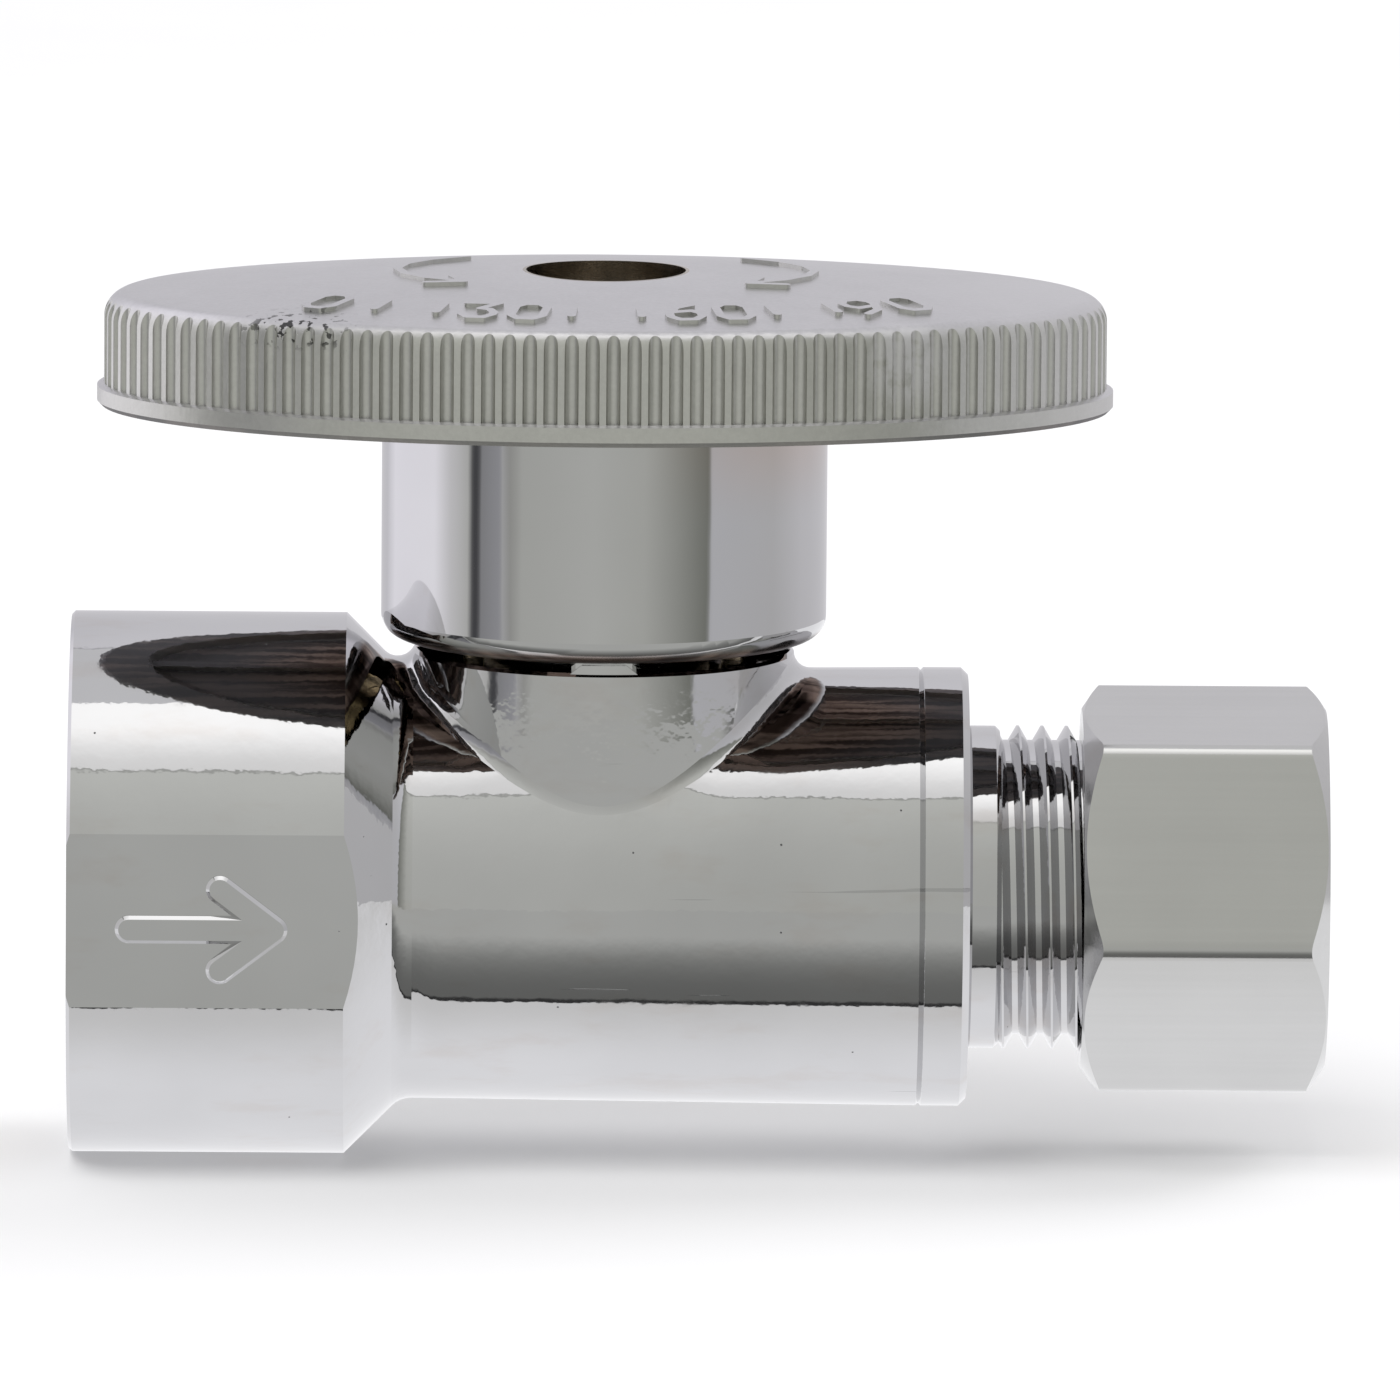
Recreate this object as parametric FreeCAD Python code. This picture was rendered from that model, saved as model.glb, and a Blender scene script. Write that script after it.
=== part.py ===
import FreeCAD, Part
import math
import os

# Straight quarter-turn stop valve, 3/8 in pipe thread inlet, 3/8 in tube outlet.
# Millimetres. Origin: centre of the inlet mouth. +X: flow. +Z: up the stem.

# ---- clearances and small shared sizes ----
RUN = 0.06          # radial clearance between turning parts
SIT = 0.03          # radial clearance between fixed parts
EDGE = 0.3          # ordinary edge break
OVER = 1.0          # how far cutting tools pass the surface they open

# ---- inlet end ----
INLET_R = 11.72
INLET_L = 11.9
FLAT_AF = 22.2
MOUTH_BREAK = 0.15
PIPE_CREST_R = 7.34
PIPE_ROOT_R = 8.4
PIPE_ROOT_FLAT = 0.06
PIPE_MOUTH_R = 7.84
PIPE_PITCH = 25.4 / 18
PIPE_TAPER_DEG = math.degrees(math.atan(1 / 32))
PIPE_BORE_L = 10.6
PIPE_THREAD_L = 9.6
DRILL_HALF_DEG = 59.0
BORE_SECTORS = 12

# ---- barrel and boss ----
BARREL_R = 9.3
FACE_R = 9.5
SEAM_BREAK = 0.12
BODY_L = 36.75
SHOULDER_FILLET = 1.2
STEM_X = 23.0
BOSS_R = 8.25
BOSS_TOP = 10.41
BOSS_FILLET = 0.8
NECK_R = 5.2
NECK_TOP = 15.4

# ---- passage, chamber and ball ----
PASSAGE_R = 3.2
CHAMBER_R = 7.0
CHAMBER_X = 16.6
CHAMBER_END = 31.2
BALL_R = 6.0
SEAT_NEAR = 3.6
SEAT_FAR = CHAMBER_END - 1.8 - STEM_X
SEAT_R = 6.9
SEAT_HOLE_R = 3.4
SLOT_W = 3.2
SLOT_Z = 4.35
BACKING_CORD_R = 0.55
BACKING_R = 5.2

# ---- outlet adapter ----
NOSE_X = CHAMBER_END - 1.8
PLUG_R = 7.42
SEAL_X = 35.6
SEAL_ROOT_R = 6.9
SEAL_BORE_R = 8.3
FLANGE_L = 2.05
COLLAR_R = 6.98
COLLAR_L = 1.4
THREAD_R = 7.0
THREAD_ROOT_R = 6.38
THREAD_PITCH = 25.4 / 24
THREAD_ROOT_FLAT = 0.25
THREAD_CREST_X = 40.47
THREAD_L = 7.0
SOCKET_R = 4.85
SOCKET_L = 6.0
TUBE_MOUTH = 1.2

# ---- stem and packing ----
STEM_R = 3.0
STEM_FLANGE_R = 4.4
FLANGE_Z = 7.05
FLANGE_T = 1.0
WASHER_T = 0.65
TANG_R = 3.4
TANG_W = 3.1
TANG_Z = 4.55
STEM_GROOVE_Z = 9.45
STEM_GROOVE_W = 1.1
STEM_GROOVE_R = 2.1
PACKING_R = 4.3
PACKING_Z = 11.2
PACKING_T = 1.2
GLAND_TOP = 15.9
NUT_Z = 12.4
NUT_TOP = 17.1
PACKING_NUT_AF = 12.0
SQUARE = 4.2
STEM_TOP = 22.0
SCREW_R = 1.47
SCREW_HOLE_R = 1.5
SCREW_HOLE_Z = 15.6

# ---- handle ----
HANDLE_A = 21.65
HANDLE_B = 13.1
OVAL = HANDLE_B / HANDLE_A
LIP = 0.3
LIP_H = 0.95
RIM_Z = 20.9
RIM_TOP = 25.85
RIM_ROUND = 1.1
DOME_Z = 26.87
RIM_WALL = 1.75
CEILING_Z = 24.0
CEILING_CENTRE_Z = 24.9
FLUTES = 124
FLUTE_DEPTH = 0.3
SKIRT_R = 9.63
SKIRT_BORE_R = 8.65
SKIRT_Z = 10.93
SKIRT_ROUND = 1.0
HUB_Z = 18.0
WELL_R = 3.45
WELL_Z = 23.2
WEB_T = 1.1
SCREW_CLEAR_R = 1.7
LOCK_WASHER_T = 0.5
HEAD_R = 2.8
HEAD_H = 1.7
RIB_W = 1.2
MARK_H = 0.18
MARK_W = 0.38

# ---- stop lug on the body, stop ribs in the handle ----
LUG_PAD_H = 0.34
LUG_PAD_W = 1.9
LUG_PAD_FOOT = 3.3
LUG_IN_R = 7.15
LUG_OUT_R = 7.8
LUG_TOP = 12.2
LUG_HALF_DEG = 9.0
STOP_GAP_DEG = 0.6
STOP_RIB_DEG = 10.0
STOP_RIB_IN_R = 7.05
STOP_RIB_Z = 11.4
TURN_DEG = 90.0

# ---- compression nut and ferrule ----
NUT_AF = 15.75
NUT_X = 43.75
NUT_L = 10.58
NUT_CORNER_DEG = -9.0
NUT_CORNER_ROUND = 0.9
NUT_CHAMFER = 0.9
NUT_FACE_R = 7.75
NUT_MINOR_R = 6.5
NUT_MAJOR_R = 7.12
NUT_GROOVE_FLAT = 0.2
NUT_THREAD_END = 51.4
NUT_CONE_R = 6.1
NUT_CONE_END = 52.9
TUBE_HOLE_R = 5.02
FERRULE_X = 46.9
FERRULE_L = 5.4
FERRULE_R = 5.8
FERRULE_END_R = 5.25
FERRULE_TAPER_L = 1.5

AXIS_X = FreeCAD.Vector(1, 0, 0)
AXIS_Y = FreeCAD.Vector(0, 1, 0)
AXIS_Z = FreeCAD.Vector(0, 0, 1)
ORIGIN = FreeCAD.Vector(0, 0, 0)
STEM_AXIS = FreeCAD.Vector(STEM_X, 0, 0)


def vec(x, y, z):
    return FreeCAD.Vector(x, y, z)


def turned_x(profile):
    """Solid turned about the flow axis from (x, radius) points."""
    points = [vec(x, 0, r) for x, r in profile]
    face = Part.Face(Part.makePolygon(points + points[:1]))
    return face.revolve(ORIGIN, AXIS_X, 360)


def turned_z(profile):
    """Solid turned about the stem axis from (radius, z) points."""
    points = [vec(STEM_X + r, 0, z) for r, z in profile]
    face = Part.Face(Part.makePolygon(points + points[:1]))
    return face.revolve(STEM_AXIS, AXIS_Z, 360)


def rod_x(radius, x0, x1):
    return Part.makeCylinder(radius, x1 - x0, vec(x0, 0, 0), AXIS_X)


def rod_z(radius, z0, z1):
    return Part.makeCylinder(radius, z1 - z0, vec(STEM_X, 0, z0), AXIS_Z)


def box(x0, x1, y0, y1, z0, z1):
    return Part.makeBox(x1 - x0, y1 - y0, z1 - z0, vec(x0, y0, z0))


def square_rod(side, z0, z1):
    half = side / 2
    return box(STEM_X - half, STEM_X + half, -half, half, z0, z1)


def hex_rod(across_flats, length):
    """Hexagonal bar along +Z with a corner on +X."""
    radius = across_flats / math.sqrt(3)
    corners = [vec(radius * math.cos(k * math.pi / 3), radius * math.sin(k * math.pi / 3), 0) for k in range(6)]
    return Part.Face(Part.makePolygon(corners + corners[:1])).extrude(vec(0, 0, length))


def turned_hex(across_flats, length, face_r, chamfer, corner_round):
    """Hexagonal blank along +Z, its corner edges rounded and both ends turned to a chamfer."""
    bar = hex_rod(across_flats, length)
    if corner_round > 0:
        upright = [e for e in bar.Edges if abs(e.Vertexes[0].Z - e.Vertexes[1].Z) > length / 2]
        bar = bar.makeFillet(corner_round, upright)
    wide = across_flats
    slope = chamfer / (across_flats / math.sqrt(3) - face_r)
    reach = slope * (wide - face_r)
    envelope = [(0, 0), (face_r, 0), (wide, reach), (wide, length - reach), (face_r, length), (0, length)]
    points = [vec(r, 0, z) for r, z in envelope]
    lathe = Part.Face(Part.makePolygon(points + points[:1])).revolve(ORIGIN, AXIS_Z, 360)
    return bar.common(lathe)


def spiral(profile, pitch, length, taper_deg=0.0):
    """Solid swept by a closed (radius, z) profile along a right-hand screw line about +Z."""
    points = [vec(r, 0, z) for r, z in profile]
    section = Part.makePolygon(points + points[:1])
    line = Part.makeLongHelix(pitch, length, profile[0][0], taper_deg)
    return Part.Wire(line.Edges).makePipeShell([section], True, True)


def thread_section(root_r, flat, pitch, side):
    """60 degree groove section from its root towards side, ending just short of the next turn."""
    near = flat / 2
    far = pitch / 2 - 0.01
    open_r = root_r + side * (far - near) / math.tan(math.radians(30))
    return [(root_r, -near), (root_r, near), (open_r, far), (open_r, -far)]


def laid_along_x(shape, x, turn_deg):
    """Turns a solid made along +Z so that it lies along +X, starting at x, rolled by turn_deg."""
    shape.rotate(ORIGIN, AXIS_Z, turn_deg)
    shape.rotate(ORIGIN, AXIS_Y, 90)
    shape.translate(vec(x, 0, 0))
    return shape


def sector(r_in, r_out, z0, z1, start_deg, end_deg):
    """Part of a ring about the stem axis between two angles from +X."""
    ring = Part.makeCylinder(r_out, z1 - z0, vec(0, 0, z0), AXIS_Z, end_deg - start_deg)
    ring = ring.cut(Part.makeCylinder(r_in, z1 - z0 + 2 * OVER, vec(0, 0, z0 - OVER), AXIS_Z))
    ring.rotate(ORIGIN, AXIS_Z, start_deg)
    ring.translate(STEM_AXIS)
    return ring


def round_ring_x(mean_r, cord_r, x):
    return Part.makeTorus(mean_r, cord_r, vec(x, 0, 0), AXIS_X)


def stroke(x0, y0, x1, y1, width, height):
    """Round-ended bar between two points in the XY plane."""
    radius = width / 2
    length = math.hypot(x1 - x0, y1 - y0)
    bar = Part.makeBox(length, width, height, vec(0, -radius, 0))
    bar = bar.fuse([Part.makeCylinder(radius, height, vec(at, 0, 0), AXIS_Z) for at in (0, length)])
    bar = bar.removeSplitter()
    bar.rotate(ORIGIN, AXIS_Z, math.degrees(math.atan2(y1 - y0, x1 - x0)))
    bar.translate(vec(x0, y0, 0))
    return bar


# ---------------------------------------------------------------- valve body
def inlet_thread_groove():
    """V groove of the tapered pipe thread, cut outwards from the crest bore."""
    lead_in = PIPE_PITCH
    profile = thread_section(PIPE_ROOT_R + lead_in / 32, PIPE_ROOT_FLAT, PIPE_PITCH, -1)
    groove = spiral(profile, PIPE_PITCH, PIPE_THREAD_L + lead_in, -PIPE_TAPER_DEG)
    return laid_along_x(groove, -lead_in, 0)


def make_valve_body():
    cone_l = INLET_R - BARREL_R
    outside = turned_x([
        (0, 0), (0, INLET_R - MOUTH_BREAK), (MOUTH_BREAK, INLET_R), (INLET_L, INLET_R),
        (INLET_L + cone_l, BARREL_R), (BODY_L - SEAM_BREAK, FACE_R), (BODY_L, FACE_R - SEAM_BREAK), (BODY_L, 0)])
    waist_x = INLET_L + cone_l
    waist = [e for e in outside.Edges if e.BoundBox.XLength < 0.01 and abs(e.BoundBox.XMin - waist_x) < 0.01]
    outside = outside.makeFillet(SHOULDER_FILLET, waist)
    for side in (-1, 1):
        y = side * (FLAT_AF / 2 + INLET_R) - INLET_R
        outside = outside.cut(box(-OVER, INLET_L + cone_l, y, y + 2 * INLET_R, -INLET_R, INLET_R))
    boss = rod_z(BOSS_R, 0, BOSS_TOP)
    rim = [e for e in boss.Edges if abs(e.BoundBox.ZMin - BOSS_TOP) < 0.01]
    body = outside.fuse(boss.makeChamfer(EDGE / 2, rim)).removeSplitter()
    body = blend_boss(body)
    for feature in (rod_z(NECK_R, BOSS_TOP - OVER, NECK_TOP), stop_lug(), stop_pad(), flow_arrow()):
        body = body.fuse(feature)
    return cut_passages(body)


def blend_boss(body):
    """Rounds the seam between the boss and the barrel."""
    seam = []
    for edge in body.Edges:
        middle = edge.valueAt((edge.FirstParameter + edge.LastParameter) / 2)
        off_axis = math.hypot(middle.x - STEM_X, middle.y)
        if abs(off_axis - BOSS_R) < 0.01 and BOSS_TOP - 0.5 > middle.z > 0.5 and edge.Length > 1.0:
            seam.append(edge)
    return body.makeFillet(BOSS_FILLET, seam)


def stop_lug():
    front = -90.0
    return sector(LUG_IN_R, LUG_OUT_R, BOSS_TOP - EDGE, LUG_TOP, front - LUG_HALF_DEG, front + LUG_HALF_DEG)


def stop_pad():
    """Low sloped pad in front of the stop lug."""
    top = BOSS_TOP + LUG_PAD_H
    foot = BOSS_TOP - 0.2
    outline = [
        vec(STEM_X - LUG_PAD_FOOT / 2, 0, foot), vec(STEM_X + LUG_PAD_FOOT / 2, 0, foot),
        vec(STEM_X + LUG_PAD_W / 2, 0, top), vec(STEM_X - LUG_PAD_W / 2, 0, top)]
    pad = Part.Face(Part.makePolygon(outline + outline[:1])).extrude(vec(0, -BOSS_R, 0))
    return pad.common(rod_z(BOSS_R - EDGE / 3, foot, top).cut(rod_z(NECK_R + 1.0, 0, NECK_TOP)))


def flow_arrow():
    """Raised arrow on the front wrench flat, pointing downstream."""
    height = 0.25
    width = 1.2
    tail, tip, back, spread, middle = 2.7, 8.9, 6.6, 1.75, -0.35
    shapes = [
        stroke(tail, middle, tip, middle, width, OVER + height),
        stroke(tip, middle, back, middle + spread, width, OVER + height),
        stroke(tip, middle, back, middle - spread, width, OVER + height)]
    arrow = shapes[0].fuse(shapes[1:]).removeSplitter()
    rim = [e for e in arrow.Edges if abs(e.BoundBox.ZMin - OVER - height) < 0.01 and e.BoundBox.ZLength < 0.01]
    arrow = arrow.makeChamfer(0.15, rim)
    arrow.rotate(ORIGIN, AXIS_X, 90)
    arrow.translate(vec(0, OVER - FLAT_AF / 2, 0))
    return arrow


def cut_passages(body):
    drill_l = (PIPE_CREST_R - PASSAGE_R) / math.tan(math.radians(DRILL_HALF_DEG))
    mouth_l = PIPE_MOUTH_R - PIPE_CREST_R
    bore = Part.makeCylinder(PIPE_CREST_R, PIPE_BORE_L + OVER, vec(0, 0, -OVER), AXIS_Z, 360 / BORE_SECTORS)
    sectors = [laid_along_x(bore.copy(), 0, (k + 0.4) * 360 / BORE_SECTORS) for k in range(BORE_SECTORS)]
    body = body.cut(sectors)
    body = body.cut(turned_x([(-OVER, 0), (-OVER, PIPE_MOUTH_R + OVER), (mouth_l, PIPE_CREST_R), (mouth_l, 0)]))
    body = body.cut(inlet_thread_groove())
    body = body.cut(turned_x([
        (PIPE_BORE_L - OVER, 0), (PIPE_BORE_L - OVER, PASSAGE_R), (PIPE_BORE_L, PASSAGE_R),
        (PIPE_BORE_L, PIPE_CREST_R), (PIPE_BORE_L + drill_l, PASSAGE_R), (CHAMBER_X, PASSAGE_R),
        (CHAMBER_X, CHAMBER_R), (CHAMBER_END, CHAMBER_R), (CHAMBER_END, PLUG_R + SIT), (SEAL_X, PLUG_R + SIT),
        (SEAL_X, SEAL_BORE_R), (BODY_L + OVER, SEAL_BORE_R), (BODY_L + OVER, 0)]))
    body = body.cut(backing_groove(CHAMBER_X, -1))
    washer_top = FLANGE_Z + FLANGE_T + WASHER_T
    body = body.cut(turned_z([
        (0, 0), (STEM_FLANGE_R + 0.1, 0), (STEM_FLANGE_R + 0.1, washer_top), (STEM_R + RUN, washer_top),
        (STEM_R + RUN, PACKING_Z), (PACKING_R, PACKING_Z), (PACKING_R, NECK_TOP + OVER), (0, NECK_TOP + OVER)]))
    return body


def backing_groove(x, side):
    """Ring groove behind a seat, opening at x and running towards side."""
    depth = 2 * BACKING_CORD_R + SIT
    ring = rod_x(BACKING_R + BACKING_CORD_R + 0.1, x - depth, x + depth)
    ring = ring.cut(rod_x(BACKING_R - BACKING_CORD_R - 0.1, x - 2 * depth, x + 2 * depth))
    keep = box(x - depth, x, -INLET_R, INLET_R, -INLET_R, INLET_R)
    if side > 0:
        keep.translate(vec(depth, 0, 0))
    return ring.common(keep)


# ------------------------------------------------------------ outlet adapter
def make_outlet_adapter():
    flange_x = BODY_L
    collar_x = flange_x + FLANGE_L
    thread_x = collar_x + COLLAR_L
    end_x = thread_x + THREAD_L
    socket_x = end_x - TUBE_MOUTH - SOCKET_L
    blank = turned_x([
        (NOSE_X, 0), (NOSE_X, SEAT_R), (CHAMBER_END, SEAT_R), (CHAMBER_END, PLUG_R), (SEAL_X, PLUG_R),
        (SEAL_X, SEAL_ROOT_R), (flange_x, SEAL_ROOT_R), (flange_x, FACE_R - SEAM_BREAK),
        (flange_x + SEAM_BREAK, FACE_R), (collar_x - EDGE, FACE_R),
        (collar_x, FACE_R - EDGE), (collar_x, COLLAR_R - 0.1), (collar_x + 0.15, COLLAR_R),
        (thread_x - 0.2, COLLAR_R), (thread_x, COLLAR_R - 0.2), (thread_x, THREAD_R),
        (end_x - 0.5, THREAD_R), (end_x, THREAD_R - 0.5), (end_x, 0)])
    hole = turned_x([
        (NOSE_X - OVER, 0), (NOSE_X - OVER, PASSAGE_R), (socket_x, PASSAGE_R), (socket_x, SOCKET_R),
        (socket_x + SOCKET_L, SOCKET_R), (end_x + OVER, SOCKET_R + TUBE_MOUTH + OVER), (end_x + OVER, 0)])
    adapter = blank.cut([hole, backing_groove(NOSE_X, 1)])
    return adapter.cut(outlet_thread_groove(thread_x, end_x))


def outlet_thread_groove(thread_x, end_x):
    """Groove between the turns of the outlet thread, stopped at the collar face."""
    profile = thread_section(THREAD_ROOT_R, THREAD_ROOT_FLAT, THREAD_PITCH, 1)
    turns = math.ceil((end_x - thread_x) / THREAD_PITCH) + 3
    start = THREAD_CREST_X - THREAD_PITCH * 1.5
    groove = laid_along_x(spiral(profile, THREAD_PITCH, turns * THREAD_PITCH), start, 0)
    return groove.common(rod_x(THREAD_R + 2 * OVER, thread_x, end_x + OVER))


# ------------------------------------------------------- ball, seats, seals
def make_ball():
    ball = Part.makeSphere(BALL_R, STEM_AXIS)
    ball = ball.cut(rod_x(PASSAGE_R, STEM_X - 2 * BALL_R, STEM_X + 2 * BALL_R))
    half = SLOT_W / 2
    return ball.cut(box(STEM_X - half, STEM_X + half, -BALL_R, BALL_R, SLOT_Z, BALL_R + OVER))


def make_seat(side):
    """Seat ring on one side of the ball."""
    near = STEM_X + side * SEAT_NEAR
    far = STEM_X + side * SEAT_FAR
    ring = rod_x(SEAT_R, min(near, far), max(near, far))
    ring = ring.cut(rod_x(SEAT_HOLE_R, 0, BODY_L))
    return ring.cut(Part.makeSphere(BALL_R + SIT, STEM_AXIS))


def make_backing_ring(side):
    return round_ring_x(BACKING_R, BACKING_CORD_R, STEM_X + side * (SEAT_FAR + BACKING_CORD_R))


def make_adapter_o_ring():
    cord_r = (BODY_L - SEAL_X) / 2
    return round_ring_x((SEAL_ROOT_R + SEAL_BORE_R) / 2, cord_r, SEAL_X + cord_r)


# ----------------------------------------------------------- stem and packing
def make_stem():
    groove_top = STEM_GROOVE_Z + STEM_GROOVE_W
    stem = turned_z([
        (0, FLANGE_Z), (STEM_FLANGE_R, FLANGE_Z), (STEM_FLANGE_R, FLANGE_Z + FLANGE_T),
        (STEM_R, FLANGE_Z + FLANGE_T), (STEM_R, STEM_GROOVE_Z), (STEM_GROOVE_R, STEM_GROOVE_Z),
        (STEM_GROOVE_R, groove_top), (STEM_R, groove_top), (STEM_R, STEM_TOP), (0, STEM_TOP)])
    upper = NUT_TOP + 0.5
    waste = rod_z(STEM_R + OVER, upper, STEM_TOP + OVER).cut(square_rod(SQUARE, upper, STEM_TOP + OVER))
    half = TANG_W / 2
    tang = box(STEM_X - half, STEM_X + half, -TANG_R, TANG_R, TANG_Z, FLANGE_Z + EDGE)
    tang = tang.common(rod_z(TANG_R, TANG_Z, FLANGE_Z + EDGE))
    return stem.fuse(tang).cut([waste, rod_z(SCREW_HOLE_R, SCREW_HOLE_Z, STEM_TOP + OVER)]).removeSplitter()


def make_stem_thrust_washer():
    bottom = FLANGE_Z + FLANGE_T
    return rod_z(STEM_FLANGE_R, bottom, bottom + WASHER_T).cut(rod_z(STEM_R + RUN, bottom - OVER, bottom + OVER))


def make_stem_o_ring():
    cord_r = (STEM_R + RUN - STEM_GROOVE_R) / 2 - 0.02
    middle = STEM_GROOVE_Z + STEM_GROOVE_W / 2
    return Part.makeTorus(STEM_GROOVE_R + cord_r, cord_r, vec(STEM_X, 0, middle), AXIS_Z)


def make_packing_ring(index):
    bottom = PACKING_Z + index * PACKING_T
    ring = rod_z(PACKING_R - SIT, bottom, bottom + PACKING_T)
    return ring.cut(rod_z(STEM_R + RUN, bottom - OVER, bottom + PACKING_T + OVER))


def make_packing_gland():
    bottom = PACKING_Z + 2 * PACKING_T
    gland = rod_z(PACKING_R - SIT, bottom, GLAND_TOP)
    return gland.cut(rod_z(STEM_R + RUN, bottom - OVER, GLAND_TOP + OVER))


def make_packing_nut():
    height = NUT_TOP - NUT_Z
    nut = turned_hex(PACKING_NUT_AF, height, PACKING_NUT_AF / 2, 0.5, 0)
    nut.translate(vec(STEM_X, 0, NUT_Z))
    nut = nut.cut(rod_z(NECK_R + SIT, NUT_Z - OVER, GLAND_TOP))
    return nut.cut(rod_z(STEM_R + RUN, NUT_Z, NUT_TOP + OVER))


# ------------------------------------------------------------------- handle
def oval(shape):
    """Narrows a solid turned about the stem axis to the oval plan of the handle."""
    squash = FreeCAD.Matrix()
    squash.scale(vec(1, OVAL, 1))
    return shape.transformGeometry(squash)


def handle_blank(lift=0.0):
    """Oval disc with a domed top, rounded top edge and bottom lip, solid underneath."""
    dome_r = HANDLE_A - RIM_ROUND
    side_z = RIM_TOP - RIM_ROUND
    lip_r = HANDLE_A + LIP
    slant = RIM_ROUND * math.sqrt(0.5)
    dome_mid = DOME_Z - (DOME_Z - RIM_TOP) / 4
    places = [
        (dome_r, RIM_TOP), (dome_r + slant, side_z + slant), (HANDLE_A, side_z), (HANDLE_A, RIM_Z + LIP_H),
        (lip_r, RIM_Z + LIP_H - 0.1), (lip_r, RIM_Z + 0.2), (lip_r - 0.2, RIM_Z), (0, RIM_Z), (0, DOME_Z)]
    points = [vec(STEM_X + r, 0, z + lift) for r, z in places]
    crown = Part.Arc(points[-1], vec(STEM_X + dome_r / 2, 0, dome_mid + lift), points[0]).toShape()
    shoulder = Part.Arc(points[0], points[1], points[2]).toShape()
    sides = [Part.makeLine(points[k], points[k + 1]) for k in range(2, 8)]
    outline = Part.Wire([crown, shoulder] + sides)
    return oval(Part.Face(outline).revolve(STEM_AXIS, AXIS_Z, 360))


def handle_recess():
    """Hollow under the handle disc."""
    wall_r = HANDLE_A - RIM_WALL
    return oval(turned_z([
        (0, RIM_Z - OVER), (wall_r, RIM_Z - OVER), (wall_r - 0.3, CEILING_Z - 0.4), (wall_r - 0.8, CEILING_Z),
        (0, CEILING_CENTRE_Z)]))


def flute_cutter():
    """Plate around the rim whose inner outline carries the flutes."""
    crest = Part.Ellipse(STEM_AXIS, HANDLE_A, HANDLE_B).toShape()
    marks = crest.discretize(Number=3 * FLUTES + 1)
    outline = []
    for k in range(FLUTES):
        start = beside_rim(marks[3 * k], 0.05)
        bottom = beside_rim(marks[3 * k + 1], -FLUTE_DEPTH)
        end = beside_rim(marks[3 * k + 2], 0.05)
        following = beside_rim(marks[(3 * k + 3) % (3 * FLUTES)], 0.05)
        outline.append(Part.Arc(start, bottom, end).toShape())
        outline.append(Part.makeLine(end, following))
    fluted = Part.Face(Part.Wire(outline))
    plate = Part.Face(Part.Wire(Part.Ellipse(STEM_AXIS, HANDLE_A + 5, HANDLE_B + 5).toShape()))
    low = RIM_Z + LIP_H
    ring = plate.extrude(vec(0, 0, RIM_TOP - low)).cut(fluted.extrude(vec(0, 0, RIM_TOP - low)))
    ring.translate(vec(0, 0, low))
    return ring


def beside_rim(point, offset):
    """Point moved off the rim ellipse along its outward normal."""
    normal = vec((point.x - STEM_X) / HANDLE_A ** 2, point.y / HANDLE_B ** 2, 0)
    return point + normal.normalize() * offset


def skirt():
    """Round skirt and hub below the disc."""
    top = CEILING_Z + 0.4
    outer = rod_z(SKIRT_R, SKIRT_Z, top)
    low_edge = [e for e in outer.Edges if abs(e.BoundBox.ZMax - SKIRT_Z) < 0.01]
    outer = outer.makeFillet(SKIRT_ROUND * 0.97, low_edge)
    outer = outer.cut(rod_z(SKIRT_BORE_R, SKIRT_Z - OVER, HUB_Z))
    first = -90.0 - LUG_HALF_DEG - STOP_GAP_DEG
    second = -90.0 + LUG_HALF_DEG + TURN_DEG + STOP_GAP_DEG
    overlap_r = SKIRT_BORE_R + EDGE
    ribs = [
        sector(STOP_RIB_IN_R, overlap_r, STOP_RIB_Z, HUB_Z + EDGE, first - STOP_RIB_DEG, first),
        sector(STOP_RIB_IN_R, overlap_r, STOP_RIB_Z, HUB_Z + EDGE, second, second + STOP_RIB_DEG)]
    return outer.fuse(ribs)


def under_ribs():
    """Stiffening ribs from the hub to the rim."""
    ribs = []
    for k in range(6):
        rib = Part.makeBox(HANDLE_A, RIB_W, CEILING_CENTRE_Z - RIM_Z, vec(SKIRT_R - OVER, -RIB_W / 2, RIM_Z + OVER))
        rib.rotate(ORIGIN, AXIS_Z, 60 * k)
        rib.translate(STEM_AXIS)
        ribs.append(rib)
    return ribs


DIGITS = {
    "0": [(0.25, 0), (0.75, 0), (1, 0.2), (1, 0.8), (0.75, 1), (0.25, 1), (0, 0.8), (0, 0.2), (0.25, 0)],
    "3": [(0, 1), (1, 1), (0.5, 0.6), (0.8, 0.55), (1, 0.35), (1, 0.2), (0.75, 0), (0.25, 0), (0, 0.2)],
    "6": [
        (0.85, 1), (0.3, 0.8), (0, 0.4), (0, 0.2), (0.25, 0), (0.75, 0), (1, 0.2), (1, 0.4), (0.75, 0.58),
        (0.1, 0.5)],
}
DIGITS["9"] = [(1 - u, 1 - v) for u, v in DIGITS["6"]]


def on_scale(shape, turn, reach):
    """Moves a mark onto the oval dial line, at ellipse parameter turn and share reach of the rim."""
    x = HANDLE_A * reach * math.sin(turn)
    y = -HANDLE_B * reach * math.cos(turn)
    lean = math.atan2(OVAL * math.sin(turn), math.cos(turn))
    shape.rotate(ORIGIN, AXIS_Z, math.degrees(lean))
    shape.translate(vec(STEM_X + x, y, CEILING_Z + 0.8))
    return shape


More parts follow.
